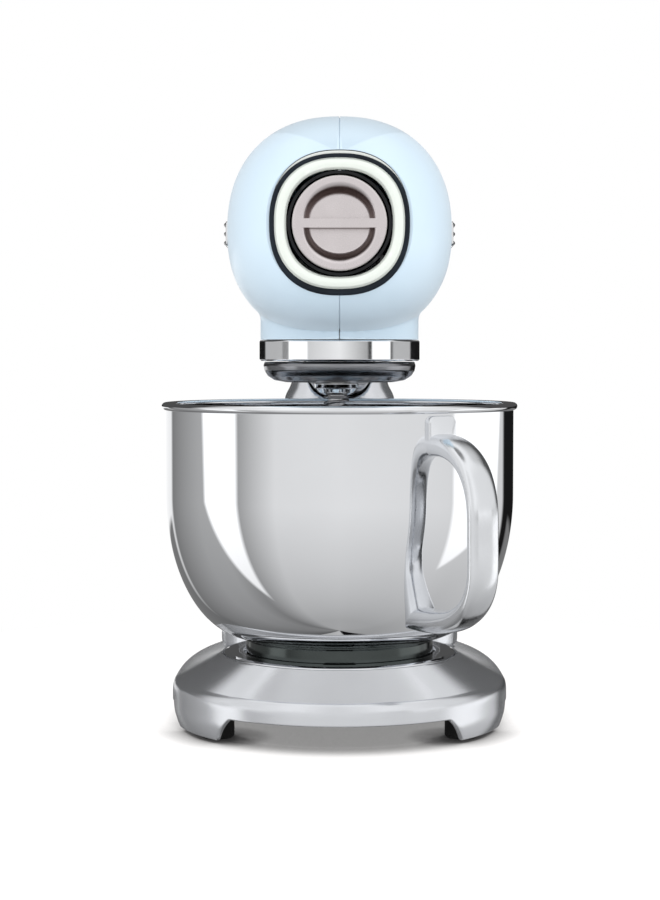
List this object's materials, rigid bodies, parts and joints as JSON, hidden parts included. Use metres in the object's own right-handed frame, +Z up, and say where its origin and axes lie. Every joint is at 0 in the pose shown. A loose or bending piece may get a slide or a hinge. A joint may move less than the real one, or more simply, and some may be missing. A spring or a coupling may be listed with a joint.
{
  "type": "stand mixer",
  "caption": "Tilt-head kitchen stand mixer with a rounded painted head, chrome band, planetary tool drive, polished handled bowl, silver column and base, and a front accessory outlet.",
  "frame": {"origin": "on the surface the mixer stands on, under the middle of its overall outline", "axes": "+Z up, the front of the head faces -Y, +X to the right seen from the front"},
  "size_m": [0.2206, 0.3952, 0.3811],
  "materials": {
    "silver_base": "satin silver lacquer",
    "silver_column": "satin silver lacquer",
    "bottom_plate": "moulded",
    "lock_ring": "polished",
    "foot_rubber": "soft",
    "hinge_pin": "ground",
    "hinge_cap": "polished",
    "bumper_rubber": "soft",
    "gland": "moulded",
    "button_chrome": "polished",
    "head_paint": "gloss enamel",
    "frame_casting": "as cast",
    "band_chrome": "polished",
    "ring_gear": "machined",
    "bezel": "pale lacquered",
    "gasket": "soft",
    "housing": "moulded",
    "trim_chrome": "polished",
    "stator": "laminated",
    "winding": "enamelled wire",
    "brush_holder": "moulded",
    "bearing_steel": "ground",
    "board": "solder mask",
    "plate_chrome": "polished",
    "lever_chrome": "polished",
    "hub_chrome": "dark polished",
    "shaft_steel": "ground",
    "gear_steel": "machined",
    "tool_shaft_steel": "polished",
    "pin_steel": "polished",
    "spring_steel": "drawn wire",
    "collar_chrome": "polished",
    "fibre_gear": "moulded",
    "rotor": "laminated",
    "commutator_copper": "turned",
    "fan_plastic": "moulded",
    "cap_metal": "satin lacquer",
    "bowl_steel": "mirror polished",
    "handle_steel": "polished"
  },
  "bodies": {
    "stand": {"base_casting": "silver_base", "column_casting": "silver_column", "bottom_plate": "bottom_plate", "bowl_lock_ring": "lock_ring", "foot_front_left": "foot_rubber", "foot_front_right": "foot_rubber", "foot_rear_left": "foot_rubber", "foot_rear_right": "foot_rubber", "hinge_pin": "hinge_pin", "hinge_cap_left": "hinge_cap", "hinge_cap_right": "hinge_cap", "tilt_bumper": "bumper_rubber", "cord_gland": "gland"},
    "release_button": {"release_button": "button_chrome"},
    "head": {"head_shell_left": "head_paint", "head_shell_right": "head_paint", "head_frame": "frame_casting", "hinge_tongue": "silver_column", "trim_band": "band_chrome", "ring_gear": "ring_gear", "front_bezel": "bezel", "bezel_gasket": "gasket", "outlet_housing": "housing", "side_trim_left": "trim_chrome", "side_trim_right": "trim_chrome", "stator_core": "stator", "field_winding_front": "winding", "field_winding_rear": "winding", "brush_holder_left": "brush_holder", "brush_holder_right": "brush_holder", "planetary_bearing_lower": "bearing_steel", "planetary_bearing_upper": "bearing_steel", "countershaft_bearing": "bearing_steel", "motor_bearing": "bearing_steel", "control_board": "board", "speed_plate": "plate_chrome"},
    "speed_lever": {"speed_lever": "lever_chrome"},
    "planet_carrier": {"planetary_hub": "hub_chrome", "planetary_shaft": "shaft_steel", "bevel_gear": "gear_steel"},
    "tool_shaft": {"beater_shaft": "tool_shaft_steel", "beater_pin": "pin_steel", "planet_gear": "gear_steel", "beater_spring": "spring_steel", "spring_collar": "collar_chrome"},
    "countershaft": {"countershaft": "shaft_steel", "accessory_socket": "gear_steel", "bevel_pinion": "gear_steel", "countershaft_gear": "gear_steel"},
    "layshaft": {"layshaft": "shaft_steel", "layshaft_gear": "fibre_gear"},
    "motor_rotor": {"motor_shaft": "shaft_steel", "rotor_core": "rotor", "commutator": "commutator_copper", "cooling_fan": "fan_plastic"},
    "accessory_cap": {"accessory_cap": "cap_metal"},
    "bowl": {"bowl": "bowl_steel", "bowl_foot_ring": "bowl_steel", "bowl_handle": "handle_steel"}
  },
  "joints": [
    {"name": "head_tilt", "type": "hinge", "parent": "stand", "child": "head", "pos_m": [0, 0.10347, 0.236], "axis": [-1, 0, 0], "range_deg": [0, 48]},
    {"name": "planetary_spin", "type": "hinge", "parent": "head", "child": "planet_carrier", "pos_m": [0, -0.06453, 0.226], "axis": [0, 0, 1], "continuous": true},
    {"name": "tool_spin", "type": "hinge", "parent": "planet_carrier", "child": "tool_shaft", "pos_m": [-0.00183, -0.08545, 0.226], "axis": [0, 0, 1], "continuous": true},
    {"name": "countershaft_spin", "type": "hinge", "parent": "head", "child": "countershaft", "pos_m": [0, -0.06453, 0.311], "axis": [0, 1, 0], "continuous": true},
    {"name": "layshaft_spin", "type": "hinge", "parent": "head", "child": "layshaft", "pos_m": [0.0265, -0.06453, 0.29694], "axis": [0, 1, 0], "continuous": true},
    {"name": "motor_spin", "type": "hinge", "parent": "head", "child": "motor_rotor", "pos_m": [0, -0.06453, 0.30429], "axis": [0, 1, 0], "continuous": true},
    {"name": "speed_lever_slide", "type": "slide", "parent": "head", "child": "speed_lever", "axis": [0, -0.9893, 0.1461], "range_m": [0, 0.036]},
    {"name": "accessory_cap_pull", "type": "slide", "parent": "head", "child": "accessory_cap", "axis": [0, -1, 0], "range_m": [0, 0.04]},
    {"name": "bowl_twist", "type": "hinge", "parent": "stand", "child": "bowl", "pos_m": [0, -0.06453, 0.05], "axis": [0, 0, 1], "range_deg": [0, 30]},
    {"name": "release_button_press", "type": "slide", "parent": "stand", "child": "release_button", "axis": [0, -1, 0], "range_m": [0, 0.004], "stiffness_N_per_m": 500, "springref_m": -0.004}
  ],
  "couplings": [
    {"joint": "tool_spin", "follows": "planetary_spin", "ratio": -2.4},
    {"joint": "countershaft_spin", "follows": "planetary_spin", "ratio": 1.5},
    {"joint": "layshaft_spin", "follows": "planetary_spin", "ratio": -6},
    {"joint": "motor_spin", "follows": "planetary_spin", "ratio": 27}
  ]
}
